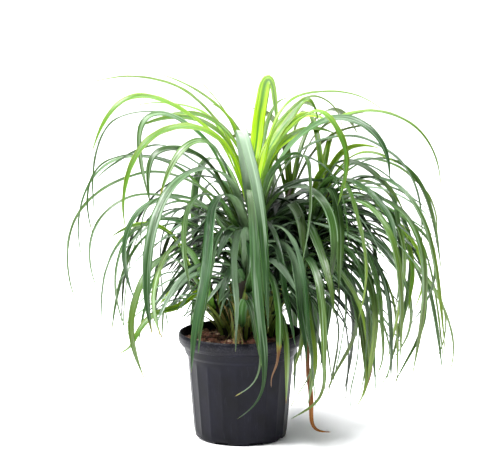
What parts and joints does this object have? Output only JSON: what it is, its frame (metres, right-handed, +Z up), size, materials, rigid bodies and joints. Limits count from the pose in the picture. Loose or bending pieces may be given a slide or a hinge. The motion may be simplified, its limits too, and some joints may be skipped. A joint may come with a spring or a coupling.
{
  "type": "potted dragon tree",
  "caption": "Bushy dragon tree with long arching strap leaves, lime green in the middle and dark green around, in a black fluted nursery pot filled with bark.",
  "frame": {"origin": "centre of the pot's flat underside", "axes": "+Z up; the side seen in the picture faces -Y; +X to the right of the picture"},
  "size_m": [0.7956, 0.6501, 0.7464],
  "materials": {
    "black_plastic": "satin, dusty at the rim",
    "bark_chips": "rough, dry",
    "mature_leaf": "satin, finely veined along the leaf",
    "young_leaf": "satin, finely veined along the leaf",
    "dry_leaf": "dry and matt"
  },
  "bodies": {
    "root": {"pot": "black_plastic", "soil": "bark_chips", "main_stem": "mature_leaf", "main_young_tuft": "young_leaf", "right_stem": "mature_leaf", "right_young_tuft": "young_leaf", "left_stem": "mature_leaf", "left_young_tuft": "young_leaf", "back_stem": "mature_leaf", "back_young_tuft": "young_leaf", "dead_leaf": "dry_leaf"}
  },
  "joints": []
}
